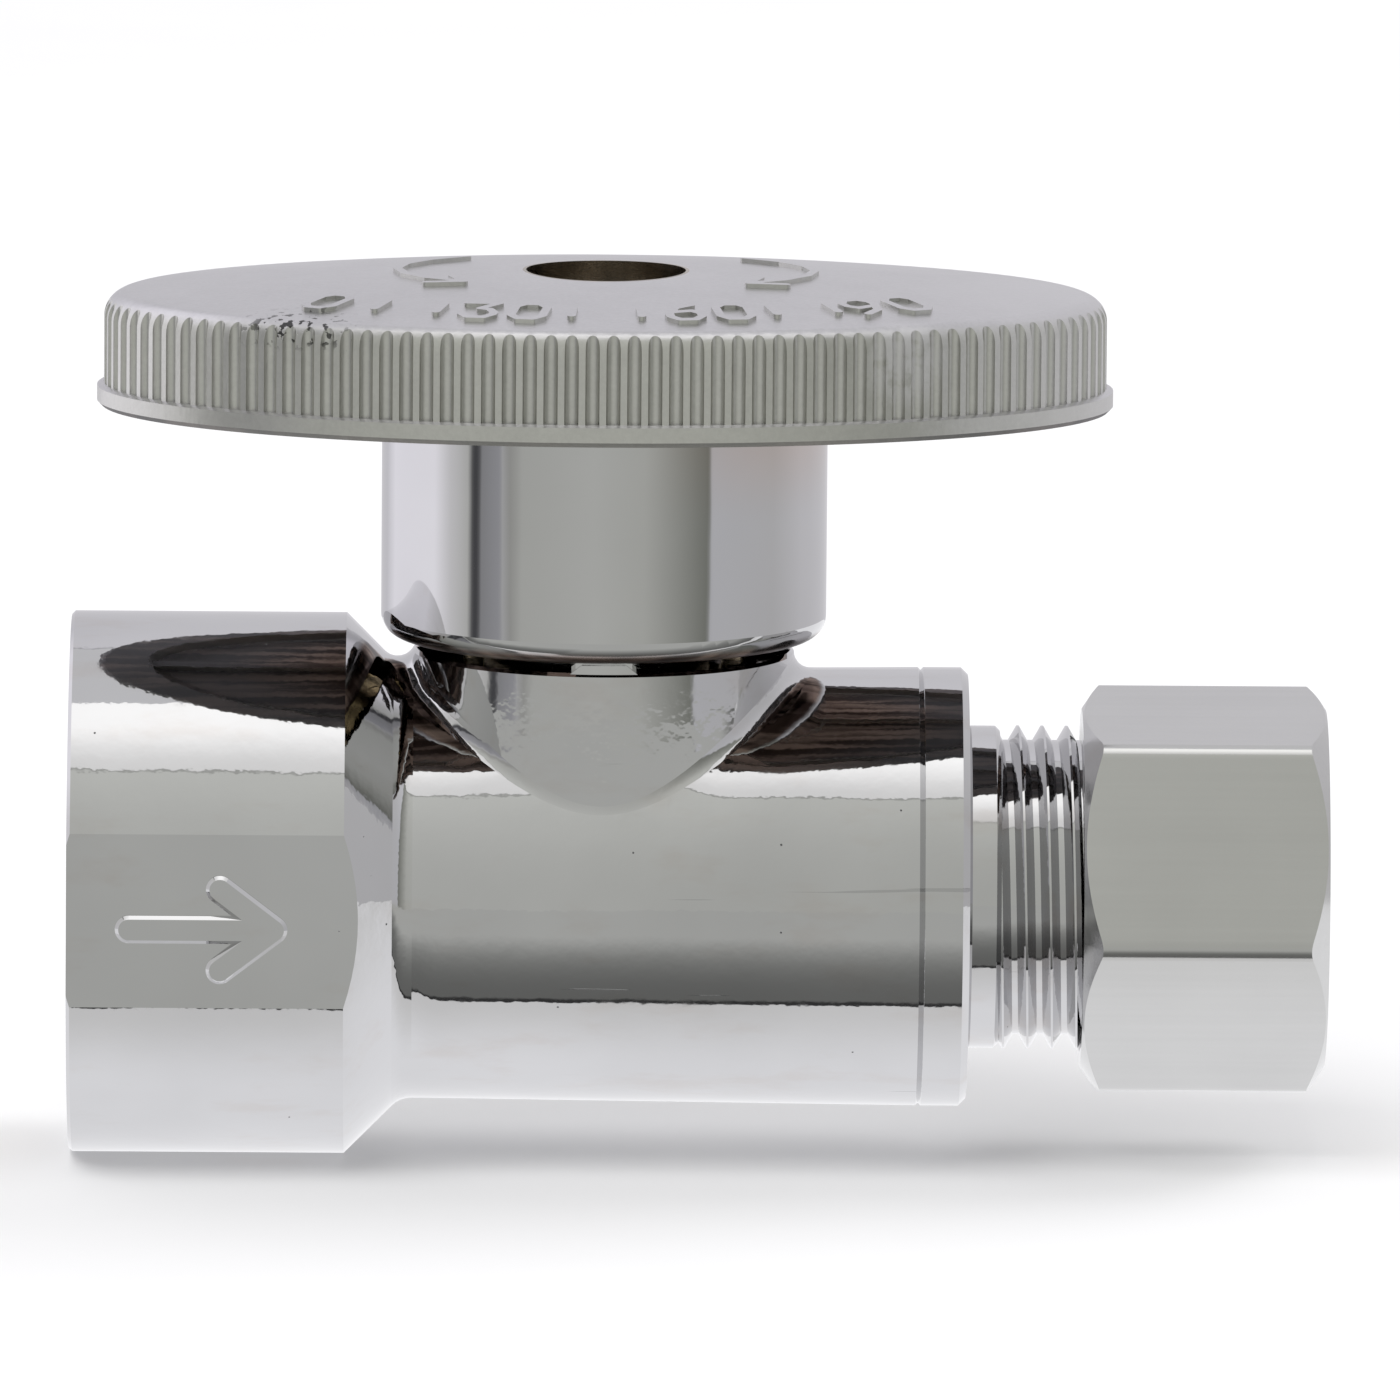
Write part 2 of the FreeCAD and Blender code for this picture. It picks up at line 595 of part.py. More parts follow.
def dial_marks():
    """Raised degree scale along the front of the dome and a turn arrow on each side."""
    tall = 4.0
    marks = []
    for degrees in range(0, 91, 10):
        turn = math.radians((degrees - 45) * 1.0)
        if degrees % 30:
            marks.append(on_scale(stroke(0, -0.6, 0, 0.8, MARK_W, tall), turn, 0.78))
            continue
        text = str(degrees)
        for place, digit in enumerate(text):
            left = (place - len(text) / 2) * 2.15 + 0.4
            path = DIGITS[digit]
            for k in range(len(path) - 1):
                ends = [(left + u * 1.35, (v - 0.5) * 2.3) for u, v in path[k:k + 2]]
                marks.append(on_scale(stroke(*ends[0], *ends[1], MARK_W, tall), turn, 0.78))
    for side in (-1, 1):
        marks.extend(turn_arrow(side, tall))
    return marks


def turn_arrow(side, tall):
    """Curved arrow on the dome beside the screw well."""
    steps = 6
    spread = math.radians(95)
    line = []
    for k in range(steps + 1):
        angle = math.radians(90) - side * (math.radians(42) + spread * k / steps)
        line.append((STEM_X + 9.0 * math.cos(angle), 5.6 * math.sin(angle)))
    (x1, y1), (x0, y0) = line[-1], line[-2]
    heading = math.atan2(y1 - y0, x1 - x0)
    strokes = [line[k:k + 2] for k in range(steps)]
    for turn in (-1, 1):
        back = heading + math.pi + turn * math.radians(35)
        strokes.append([(x1, y1), (x1 + 1.6 * math.cos(back), y1 + 1.6 * math.sin(back))])
    pieces = []
    for start, end in strokes:
        piece = stroke(*start, *end, MARK_W, tall)
        piece.translate(vec(0, 0, CEILING_Z + 0.8))
        pieces.append(piece)
    return pieces


def make_handle():
    handle = handle_blank()
    recess = handle_recess()
    ribs = [rib.common(recess) for rib in under_ribs()]
    raised = Part.makeCompound([mark.common(handle_blank(MARK_H)) for mark in dial_marks()])
    handle = handle.cut(recess).cut(flute_cutter())
    handle = handle.fuse([skirt()] + ribs)
    handle = handle.fuse(raised.Solids)
    web_z = WELL_Z - WEB_T
    well = rod_z(WELL_R, WELL_Z, DOME_Z + OVER)
    hole = rod_z(SCREW_CLEAR_R, web_z - OVER, WELL_Z + OVER)
    return handle.cut([well, hole, square_rod(SQUARE + 2 * SIT, HUB_Z - OVER, web_z)])


def make_screw_lock_washer():
    """Spring washer under the screw head, split on one side."""
    washer = rod_z(HEAD_R - 0.15, WELL_Z, WELL_Z + LOCK_WASHER_T)
    washer = washer.cut(rod_z(SCREW_R + 0.15, WELL_Z - OVER, WELL_Z + OVER))
    return washer.cut(box(STEM_X, STEM_X + WELL_R, -0.15, 0.15, WELL_Z - OVER, WELL_Z + OVER))


def make_handle_screw():
    under = WELL_Z + LOCK_WASHER_T
    head = rod_z(HEAD_R, under, under + HEAD_H)
    crown = [e for e in head.Edges if abs(e.BoundBox.ZMin - under - HEAD_H) < 0.01]
    head = head.makeFillet(0.7, crown)
    half = 0.35
    arms = [
        box(STEM_X - 1.5, STEM_X + 1.5, -half, half, under + 0.5, under + HEAD_H + OVER),
        box(STEM_X - half, STEM_X + half, -1.5, 1.5, under + 0.5, under + HEAD_H + OVER)]
    shank = rod_z(SCREW_R, SCREW_HOLE_Z + 0.6, under + EDGE)
    return head.fuse(shank).cut(arms).removeSplitter()


# ------------------------------------------------- compression nut and ferrule
def nut_thread_groove():
    """Groove of the nut thread, centred on the turns of the outlet thread."""
    profile = thread_section(NUT_MAJOR_R, NUT_GROOVE_FLAT, THREAD_PITCH, -1)
    turns_before = math.floor((NUT_X - THREAD_CREST_X) / THREAD_PITCH) - 1
    start = THREAD_CREST_X + turns_before * THREAD_PITCH
    length = NUT_THREAD_END - 0.8 - start
    return laid_along_x(spiral(profile, THREAD_PITCH, length), start, 0)


def make_compression_nut():
    blank = turned_hex(NUT_AF, NUT_L, NUT_FACE_R, NUT_CHAMFER, NUT_CORNER_ROUND)
    # A corner made on local +X lands on -Z; the front is three quarters of a turn further round.
    nut = laid_along_x(blank, NUT_X, 270 - NUT_CORNER_DEG)
    end = NUT_X + NUT_L
    nut = nut.cut(turned_x([
        (NUT_X - OVER, 0), (NUT_X - OVER, NUT_MAJOR_R + OVER + 0.1), (NUT_X + 0.6, NUT_MINOR_R),
        (NUT_THREAD_END, NUT_MINOR_R), (NUT_THREAD_END, NUT_CONE_R), (NUT_CONE_END, TUBE_HOLE_R),
        (end - EDGE, TUBE_HOLE_R), (end + OVER, TUBE_HOLE_R + EDGE + OVER), (end + OVER, 0)]))
    return nut.cut(nut_thread_groove())


def make_compression_ferrule():
    end = FERRULE_X + FERRULE_L
    return turned_x([
        (FERRULE_X, TUBE_HOLE_R), (FERRULE_X, FERRULE_END_R), (FERRULE_X + FERRULE_TAPER_L, FERRULE_R),
        (end - FERRULE_TAPER_L, FERRULE_R), (end, FERRULE_END_R), (end, TUBE_HOLE_R)])


def main():
    os.makedirs("parts", exist_ok=True)
    nodes = {
        "valve_body": make_valve_body(),
        "outlet_adapter": make_outlet_adapter(),
        "adapter_o_ring": make_adapter_o_ring(),
        "ball": make_ball(),
        "inlet_seat": make_seat(-1),
        "outlet_seat": make_seat(1),
        "inlet_seat_backing_ring": make_backing_ring(-1),
        "outlet_seat_backing_ring": make_backing_ring(1),
        "stem": make_stem(),
        "stem_thrust_washer": make_stem_thrust_washer(),
        "stem_o_ring": make_stem_o_ring(),
        "lower_packing_ring": make_packing_ring(0),
        "upper_packing_ring": make_packing_ring(1),
        "packing_gland": make_packing_gland(),
        "packing_nut": make_packing_nut(),
        "handle": make_handle(),
        "screw_lock_washer": make_screw_lock_washer(),
        "handle_screw": make_handle_screw(),
        "compression_ferrule": make_compression_ferrule(),
        "compression_nut": make_compression_nut(),
    }
    for name, shape in nodes.items():
        shape.exportStep("parts/" + name + ".step")


main()
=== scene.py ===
"""Finishes, studio and camera for a straight quarter-turn stop valve."""

import math

import bmesh
import bpy
from bpy.props import FloatProperty, FloatVectorProperty, PointerProperty
from mathutils import Matrix, Quaternion, Vector


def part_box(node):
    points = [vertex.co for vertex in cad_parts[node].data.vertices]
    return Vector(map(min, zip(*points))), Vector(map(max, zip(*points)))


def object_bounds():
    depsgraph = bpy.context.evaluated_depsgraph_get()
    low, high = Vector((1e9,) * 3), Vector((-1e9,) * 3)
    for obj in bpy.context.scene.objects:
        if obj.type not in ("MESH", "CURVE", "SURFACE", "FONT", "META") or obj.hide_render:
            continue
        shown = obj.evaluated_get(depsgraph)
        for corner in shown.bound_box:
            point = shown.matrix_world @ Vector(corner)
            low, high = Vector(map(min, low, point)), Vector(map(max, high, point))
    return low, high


bl_info = {
    "name": "Quarter-turn Stop Valve",
    "version": (1, 0, 0),
    "blender": (4, 5, 0),
    "location": "3D View > Sidebar > Stop Valve",
    "description": "Plating, working part finishes, studio and camera of a stop valve",
    "category": "Object",
}

MM = 0.001

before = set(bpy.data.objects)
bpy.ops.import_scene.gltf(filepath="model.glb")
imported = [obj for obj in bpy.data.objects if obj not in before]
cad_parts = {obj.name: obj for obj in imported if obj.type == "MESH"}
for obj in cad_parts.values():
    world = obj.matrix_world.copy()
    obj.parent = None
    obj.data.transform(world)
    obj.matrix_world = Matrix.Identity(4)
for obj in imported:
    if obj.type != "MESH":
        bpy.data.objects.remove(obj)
CAD_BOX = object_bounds()
STEM_X = (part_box("stem")[0].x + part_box("stem")[1].x) / 2
FLOOR_Z = CAD_BOX[0].z - 0.02 * MM

BRASS_PARTS = ("stem", "packing_nut", "packing_gland", "compression_ferrule")
STEEL_PARTS = ("handle_screw", "screw_lock_washer")
RUBBER_PARTS = (
    "adapter_o_ring",
    "stem_o_ring",
    "inlet_seat_backing_ring",
    "outlet_seat_backing_ring",
)
PLASTIC_PARTS = (
    "inlet_seat",
    "outlet_seat",
    "stem_thrust_washer",
    "lower_packing_ring",
    "upper_packing_ring",
)


class Value:
    """A number or colour out of a shader node, for use in plain expressions."""

    def __init__(self, shade, socket):
        self.shade = shade
        self.socket = socket

    def _math(self, operation, first, second):
        return self.shade.node("Math", {"operation": operation}, {0: first, 1: second})

    def __add__(self, other):
        return self._math("ADD", self, other)

    def __radd__(self, other):
        return self._math("ADD", other, self)

    def __sub__(self, other):
        return self._math("SUBTRACT", self, other)

    def __rsub__(self, other):
        return self._math("SUBTRACT", other, self)

    def __mul__(self, other):
        return self._math("MULTIPLY", self, other)

    def __rmul__(self, other):
        return self._math("MULTIPLY", other, self)

    def __truediv__(self, other):
        return self._math("DIVIDE", self, other)

    def __pow__(self, other):
        return self._math("POWER", self, other)

    def __gt__(self, other):
        return self._math("GREATER_THAN", self, other)

    def __lt__(self, other):
        return self._math("LESS_THAN", self, other)


class Shade:
    """A node material being written, one node at a time."""

    def __init__(self, name):
        self.material = bpy.data.materials.new(name)
        self.material.use_nodes = True
        self.tree = self.material.node_tree
        self.tree.nodes.clear()

    def node(self, kind, settings=None, inputs=None, output=0):
        """Adds a node: its settings first, then the values or links of its sockets."""
        made = self.tree.nodes.new("ShaderNode" + kind)
        for key, value in (settings or {}).items():
            if key == "stops":
                self._stops(made.color_ramp.elements, value)
            else:
                setattr(made, key, value)
        for key, value in (inputs or {}).items():
            if isinstance(value, Value):
                self.tree.links.new(value.socket, made.inputs[key])
            else:
                made.inputs[key].default_value = value
        return Value(self, made.outputs[output])

    def _stops(self, elements, stops):
        while len(elements) < len(stops):
            elements.new(1.0)
        for element, (position, colour) in zip(elements, stops):
            element.position = position
            element.color = (*colour, 1.0)

    def place(self, output="Object"):
        """Object coordinates in metres, or the object's own surface direction."""
        return self.node("TexCoord", output=output)

    def split(self, vector):
        first = self.node("SeparateXYZ", inputs={0: vector})
        return [Value(self, socket) for socket in first.socket.node.outputs]

    def stretched(self, place, scale, turn=(0.0, 0.0, 0.0)):
        return self.node("Mapping", inputs={"Vector": place, "Rotation": turn, "Scale": scale})

    def noise(self, place, scale, detail=2.0, rough=0.5):
        """Soft noise from 0 to 1; the scale is in features per metre."""
        inputs = {"Vector": place, "Scale": scale, "Detail": detail, "Roughness": rough}
        return self.node("TexNoise", inputs=inputs)

    def ramp(self, value, low, high):
        """0 below low, 1 above high and smooth between them."""
        inputs = {"Value": value, "From Min": low, "From Max": high}
        return self.node("MapRange", {"interpolation_type": "SMOOTHSTEP"}, inputs)

    def specks(self, place, scale, radius, share):
        """1 inside round specks of a radius in metres, in a share of the cells."""
        settings = {"voronoi_dimensions": "3D", "feature": "F1"}
        inputs = {"Vector": place, "Scale": scale}
        distance = self.node("TexVoronoi", settings, inputs, "Distance")
        chance = self.split(Value(self, distance.socket.node.outputs["Color"]))[0]
        reach = radius * scale
        return (1.0 - self.ramp(distance, reach * 0.5, reach)) * (chance < share)

    def blend(self, factor, first, second):
        """Colour mix of two colours."""
        return self.node("Mix", {"data_type": "RGBA"}, {0: factor, 6: first, 7: second}, 2)

    def scaled(self, colour, factor):
        """A colour times a number that varies over the surface."""
        if not isinstance(colour, Value):
            colour = colour[:3]
        inputs = {0: colour, "Scale": factor}
        return self.node("VectorMath", {"operation": "SCALE"}, inputs)

    def bump(self, height, depth, normal=None):
        """Raises the surface by height, 0 to 1, times a depth in metres."""
        inputs = {"Height": height, "Distance": depth, "Strength": 1.0}
        if normal:
            inputs["Normal"] = normal
        return self.node("Bump", inputs=inputs)

    def near(self, place, centre, radius):
        """1 at a point of the object, falling to 0 at a radius."""
        inputs = {0: place, 1: centre}
        gap = self.node("VectorMath", {"operation": "DISTANCE"}, inputs, "Value")
        return 1.0 - self.ramp(gap, radius * 0.35, radius)

    def surface(self, **sockets):
        """Principled surface and the material output; returns the material."""
        named = {key.replace("_", " ").title(): value for key, value in sockets.items()}
        shader = self.node("BsdfPrincipled", inputs=named)
        self.node_output(shader)
        return self.material

    def node_output(self, shader):
        out = self.tree.nodes.new("ShaderNodeOutputMaterial")
        self.tree.links.new(shader.socket, out.inputs["Surface"])


def rgba(colour):
    return (*colour[:3], 1.0)


def dress(names, material):
    """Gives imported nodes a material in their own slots."""
    for name in names:
        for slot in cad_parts[name].material_slots:
            slot.material = material


def from_stem(shade, place):
    """Distance from the stem's axis, in metres."""
    x, y, _ = shade.split(place)
    side = x - STEM_X
    return (side * side + y * y) ** 0.5


def from_flow(shade, place):
    """Distance from the flow axis, in metres."""
    _, y, z = shade.split(place)
    return (y * y + z * z) ** 0.5


# ---- bright plating of the body, the adapter and the ball ----

BODY_BARE_RADIUS = 8.35 * MM
ADAPTER_BARE_RADIUS = 5.6 * MM
PLATING_EDGE = 0.4 * MM
PIT_RADIUS = 0.055 * MM
NICK_RADIUS = 0.12 * MM
PIT_TONE = (0.05, 0.05, 0.055, 1.0)
SCRATCH_TONE = (0.30, 0.30, 0.31, 1.0)
SMUDGE_TONE = (0.52, 0.46, 0.42, 1.0)


class PlatingSettings(bpy.types.PropertyGroup):
    colour: FloatVectorProperty(
        name="Chrome colour",
        description="Tint of the bright chrome",
        default=(0.62, 0.62, 0.63),
        subtype="COLOR",
        min=0.0,
        max=1.0,
    )
    roughness: FloatProperty(
        name="Roughness",
        description="Least roughness of the bright chrome",
        default=0.035,
        min=0.0,
        max=1.0,
        subtype="FACTOR",
    )
    ripple: FloatProperty(
        name="Ripple",
        description="Height of the polishing ripples under the plating",
        default=0.03 * MM,
        unit="LENGTH",
        precision=6,
    )
    pit_depth: FloatProperty(
        name="Pit depth",
        description="Depth of the small pits in the plating",
        default=0.03 * MM,
        unit="LENGTH",
        precision=6,
    )
    brass: FloatVectorProperty(
        name="Bore colour",
        description="Bare brass inside the pipe thread and the passages",
        default=(0.56, 0.41, 0.22),
        subtype="COLOR",
        min=0.0,
        max=1.0,
    )


class VALVE_OT_plate_body(bpy.types.Operator):
    """Plate the valve body, the outlet adapter and the ball in bright chrome"""

    bl_idname = "valve.plate_body"
    bl_label = "Plate the Body"

    def execute(self, context):
        settings = context.scene.valve_plating
        dress(("valve_body",), body_chrome(settings, "body_chrome", BODY_BARE_RADIUS))
        adapter = body_chrome(settings, "adapter_chrome", ADAPTER_BARE_RADIUS)
        dress(("outlet_adapter",), adapter)
        dress(("ball",), ball_chrome(settings))
        return {"FINISHED"}


def body_chrome(settings, name, bare_radius):
    """Mirror plating over a polished casting, and bare brass inside the bores."""
    shade = Shade(name)
    place = shade.place()
    cloud = shade.noise(place, 120.0, 3.0)
    haze = shade.noise(place, 900.0, 4.0, 0.6)
    pits = shade.specks(place, 950.0, PIT_RADIUS, 0.15)
    nicks = shade.specks(place, 260.0, NICK_RADIUS, 0.07)
    marks = pits + nicks
    fine_lines = shade.noise(shade.stretched(place, (60.0, 900.0, 2600.0), (0.3, 0.5, 0.2)), 1.0)
    scratch = shade.ramp(fine_lines, 0.735, 0.75)
    edge = bare_radius + PLATING_EDGE
    inside = 1.0 - shade.ramp(from_flow(shade, place), bare_radius, edge)
    film = shade.noise(shade.stretched(place, (170.0, 420.0, 420.0)), 1.0, 4.0, 0.6)
    smudge = shade.ramp(film, 0.52, 0.72)
    tone = shade.scaled(rgba(settings.colour), 0.90 + cloud * 0.18)
    tone = shade.blend(smudge * 0.22, tone, SMUDGE_TONE)
    tone = shade.blend(marks * 0.75, tone, PIT_TONE)
    tone = shade.blend(scratch * 0.35, tone, SCRATCH_TONE)
    brass = shade.scaled(rgba(settings.brass), 0.75 + haze * 0.5)
    colour = shade.blend(inside, tone, brass)
    polish = settings.roughness + shade.ramp(haze, 0.5, 0.8) * 0.05 + smudge * 0.05
    rough = polish + marks * 0.3 + scratch * 0.12 + inside * 0.22
    ripples = shade.bump(shade.noise(place, 230.0, 1.0), settings.ripple)
    orange_peel = shade.bump(shade.noise(place, 1500.0, 2.0), settings.ripple * 0.2, ripples)
    worn = shade.bump(1.0 - marks - scratch * 0.06, settings.pit_depth, orange_peel)
    return shade.surface(base_color=colour, metallic=1.0, roughness=rough, normal=worn)


def ball_chrome(settings):
    """Lapped ball with faint circular wear."""
    shade = Shade("ball_chrome")
    place = shade.place()
    rings = shade.noise(shade.stretched(place, (200.0, 200.0, 5200.0)), 1.0, 3.0)
    colour = shade.scaled(rgba(settings.colour), 0.86 + rings * 0.22)
    normal = shade.bump(rings, 0.002 * MM)
    rough = 0.05 + shade.ramp(rings, 0.5, 0.8) * 0.12
    return shade.surface(base_color=colour, metallic=1.0, roughness=rough, normal=normal)


# ---- satin plated handle ----

SKIRT_TOP_Z = 20.819 * MM
SKIRT_RADIUS = 9.9 * MM
WELL_RADIUS = 3.6 * MM
# Heights and tone of a painted reflection: the handle's dark underside as seen in the top of the
# skirt.
REFLECTED_UNDERSIDE_LOW_Z = 16.5 * MM
REFLECTED_UNDERSIDE_HIGH_Z = 20.9 * MM
RUB_PLACE = (35.9 * MM, -10.6 * MM, 24.3 * MM)
SOOT_PLACE = (9.6 * MM, -10.2 * MM, 25.3 * MM)
TIRED_PLACE = (43.0 * MM, -2.0 * MM, 24.5 * MM)
SPECK_RADIUS = 0.06 * MM
RUB_TONE = (0.76, 0.755, 0.77, 1.0)
SOOT_TONE = (0.025, 0.025, 0.025, 1.0)
REFLECTED_UNDERSIDE_TONE = (0.62, 0.50, 0.43, 1.0)
# Tone of the painted brass reflection and shade inside the screw well.
WELL_REFLECTION_AND_SHADE_TONE = (0.42, 0.36, 0.28, 1.0)
EDGE_TONE = (0.15, 0.15, 0.16, 1.0)


class HandleSettings(bpy.types.PropertyGroup):
    colour: FloatVectorProperty(
        name="Satin colour",
        description="Tint of the satin plating",
        default=(0.60, 0.595, 0.61),
        subtype="COLOR",
        min=0.0,
        max=1.0,
    )
    rim_colour: FloatVectorProperty(
        name="Rim colour",
        description="Tint of the fluted rim",
        default=(0.60, 0.60, 0.575),
        subtype="COLOR",
        min=0.0,
        max=1.0,
    )
    roughness: FloatProperty(
        name="Satin roughness",
        description="Roughness of the satin plating on top of the handle",
        default=0.30,
        min=0.0,
        max=1.0,
        subtype="FACTOR",
    )
    # The colour below is painted shade on the faces under the handle.
    underside: FloatVectorProperty(
        name="Underside colour",
        description="Stained casting under the handle",
        default=(0.05, 0.032, 0.027),
        subtype="COLOR",
        min=0.0,
        max=1.0,
    )
    # Lighter streaks in the painted shade under the handle.
    underside_streak: FloatVectorProperty(
        name="Underside streaks",
        description="Lighter streaks in the stained casting under the handle",
        default=(0.34, 0.25, 0.21),
        subtype="COLOR",
        min=0.0,
        max=1.0,
    )


class VALVE_OT_finish_handle(bpy.types.Operator):
    """Finish the handle: satin top and rim, bright skirt, painted shade under the handle"""

    bl_idname = "valve.finish_handle"
    bl_label = "Finish the Handle"

    def execute(self, context):
        scene = context.scene
        dress(("handle",), handle_satin(scene.valve_handle, scene.valve_plating))
        return {"FINISHED"}


def handle_satin(settings, plating):
    """Satin casting with a bright skirt, worn at the rim, with painted shade under the handle
    and painted reflections in the screw well and at the top of the skirt.
    """
    shade = Shade("handle_satin")
    place = shade.place()
    x, _, z = shade.split(place)
    _, _, up = shade.split(shade.place("Normal"))
    reach = from_stem(shade, place)
    grain = shade.noise(place, 5200.0, 3.0, 0.6)
    lumps = shade.noise(place, 900.0, 3.0)
    cloud = shade.noise(place, 110.0, 3.0)
    specks = shade.specks(place, 700.0, SPECK_RADIUS, 0.10)
    skirt = (z < SKIRT_TOP_Z) * (reach < SKIRT_RADIUS)
    well = (reach < WELL_RADIUS) * (1.0 - skirt)
    on_top = shade.ramp(up, 0.3, 0.8)
    underneath = 1.0 - shade.ramp(up, -0.75, -0.35)
    streaks = shade.noise(shade.stretched(place, (90.0, 700.0, 300.0)), 1.0, 3.0)
    well_streaks = shade.noise(shade.stretched(place, (900.0, 900.0, 60.0)), 1.0, 3.0)

    rub = shade.near(place, RUB_PLACE, 2.4 * MM)
    rub = rub * shade.ramp(shade.noise(place, 1300.0, 3.0), 0.35, 0.55)
    soot = shade.near(place, SOOT_PLACE, 3.4 * MM) * shade.ramp(z, 24.5 * MM, 25.1 * MM)
    soot = soot * shade.ramp(shade.noise(place, 2700.0, 3.0), 0.58, 0.63)
    tired = shade.near(place, TIRED_PLACE, 9.0 * MM)

    tone = shade.blend(on_top, rgba(settings.rim_colour), rgba(settings.colour))
    tone = shade.scaled(tone, 0.75 + cloud * 0.20 + lumps * 0.12 + grain * 0.20)
    tone = shade.blend(rub * 0.7 + tired * 0.35, tone, RUB_TONE)
    tone = shade.blend(soot * 0.9 + specks * 0.7, tone, SOOT_TONE)
    # Painted reflection: a brown band at the top of the bright skirt stands for the handle's
    # underside mirrored in it.
    reflected_underside = shade.ramp(z, REFLECTED_UNDERSIDE_LOW_Z, REFLECTED_UNDERSIDE_HIGH_Z) * shade.ramp(x, 24.0 * MM, 30.0 * MM)
    bright = shade.blend(reflected_underside * 0.5, rgba(plating.colour), REFLECTED_UNDERSIDE_TONE)
    bright = shade.scaled(bright, 0.92 + cloud * 0.16)
    tone = shade.blend(skirt, tone, bright)
    # Painted reflection and shade: the screw well's walls get a dark brown tone in vertical
    # streaks, standing for brass reflected in the recess.
    tone = shade.blend(well, tone, shade.scaled(WELL_REFLECTION_AND_SHADE_TONE, 0.2 + well_streaks * 1.2))
    # Painted shade: faces pointing down get a dark brown with lighter streaks, blended towards
    # grey further from the stem.
    streak_mask = shade.ramp(streaks, 0.42, 0.62)
    shaded_underside = shade.blend(streak_mask, rgba(settings.underside), rgba(settings.underside_streak))
    edge_grey = shade.ramp(reach, 11.0 * MM, 17.0 * MM)
    shaded_underside = shade.blend(edge_grey * 0.75, shaded_underside, EDGE_TONE)
    tone = shade.blend(underneath, tone, shaded_underside)

    satin = settings.roughness + lumps * 0.06 + rub * 0.15 - well * 0.12
    rough = satin * (1.0 - skirt) + skirt * (plating.roughness + specks * 0.1)
    rough = rough + underneath * 0.25
    dull = 1.0 - skirt
    big = shade.bump(lumps * dull, 0.014 * MM)
    small = shade.bump(grain * dull, 0.007 * MM, big)
    ripples = shade.bump(shade.noise(place, 230.0, 1.0), plating.ripple * 0.6, small)
    normal = shade.bump(1.0 - specks - soot * 0.5, 0.03 * MM, ripples)
    return shade.surface(base_color=tone, metallic=1.0, roughness=rough, normal=normal)


# ---- compression nut ----

NUT_BORE_RADIUS = 7.15 * MM
NUT_FACE_RADIUS = 7.3 * MM
NUT_DEEP_X = 44.3 * MM
NUT_SPECK_TONE = (0.06, 0.06, 0.06, 1.0)
NUT_BORE_TONE = (0.50, 0.38, 0.22, 1.0)


class NutSettings(bpy.types.PropertyGroup):
    colour: FloatVectorProperty(
        name="Nut colour",
        description="Tint of the semi-bright plating on the compression nut",
        default=(0.60, 0.60, 0.595),
        subtype="COLOR",
        min=0.0,
        max=1.0,
    )
    roughness: FloatProperty(
        name="Nut roughness",
        description="Roughness of the compression nut's flats",
        default=0.13,
        min=0.0,
        max=1.0,
        subtype="FACTOR",
    )


class VALVE_OT_finish_nut(bpy.types.Operator):
    """Finish the compression nut in drawn, semi-bright plating"""

    bl_idname = "valve.finish_nut"
    bl_label = "Finish the Compression Nut"

    def execute(self, context):
        dress(("compression_nut",), nut_plating(context.scene.valve_nut))
        return {"FINISHED"}


def nut_plating(settings):
    """Plating over drawn hexagon bar: faint draw lines along it, and turned ends."""
    shade = Shade("nut_plating")
    place = shade.place()
    x, _, _ = shade.split(place)
    drawn = shade.noise(shade.stretched(place, (50.0, 2400.0, 2400.0)), 1.0, 3.0)
    cloud = shade.noise(place, 160.0, 3.0)
    grain = shade.noise(place, 4200.0, 2.0)
    specks = shade.specks(place, 600.0, SPECK_RADIUS, 0.12)
    inside = 1.0 - shade.ramp(from_flow(shade, place), NUT_BORE_RADIUS, NUT_FACE_RADIUS)
    deep = inside * (x > NUT_DEEP_X)
    tone = shade.scaled(rgba(settings.colour), 0.92 + cloud * 0.10 + drawn * 0.06)
    tone = shade.blend(specks * 0.7, tone, NUT_SPECK_TONE)
    tone = shade.blend(deep * 0.7, tone, NUT_BORE_TONE)
    rough = settings.roughness + cloud * 0.06 + specks * 0.2
    lines = shade.bump(drawn, 0.0022 * MM)
    waves = shade.bump(shade.noise(place, 300.0, 2.0), 0.012 * MM, lines)
    normal = shade.bump(grain - specks * 4.0, 0.0012 * MM, waves)
    return shade.surface(base_color=tone, metallic=1.0, roughness=rough, normal=normal)


# ---- brass, steel, plastic and rubber working parts ----

BRASS_ROUGHNESS = 0.22
STEEL_ROUGHNESS = 0.30
BLOOM_TONE = (0.06, 0.06, 0.062, 1.0)


class WorkingPartSettings(bpy.types.PropertyGroup):
    brass: FloatVectorProperty(
        name="Brass colour",
        description="Machined brass of the stem, the packing nut and the ferrule",
        default=(0.66, 0.49, 0.24),
        subtype="COLOR",
        min=0.0,
        max=1.0,
    )
    steel: FloatVectorProperty(
        name="Steel colour",
        description="Zinc plate on the handle screw and its washer",
        default=(0.50, 0.49, 0.47),
        subtype="COLOR",
        min=0.0,
        max=1.0,
    )
    plastic: FloatVectorProperty(
        name="Seat colour",
        description="Fluoropolymer of the seats and packing",
        default=(0.80, 0.80, 0.77),
        subtype="COLOR",
        min=0.0,
        max=1.0,
    )
    rubber: FloatVectorProperty(
        name="Rubber colour",
        description="Rubber of the O-rings",
        default=(0.018, 0.018, 0.019),
        subtype="COLOR",
        min=0.0,
        max=1.0,
    )


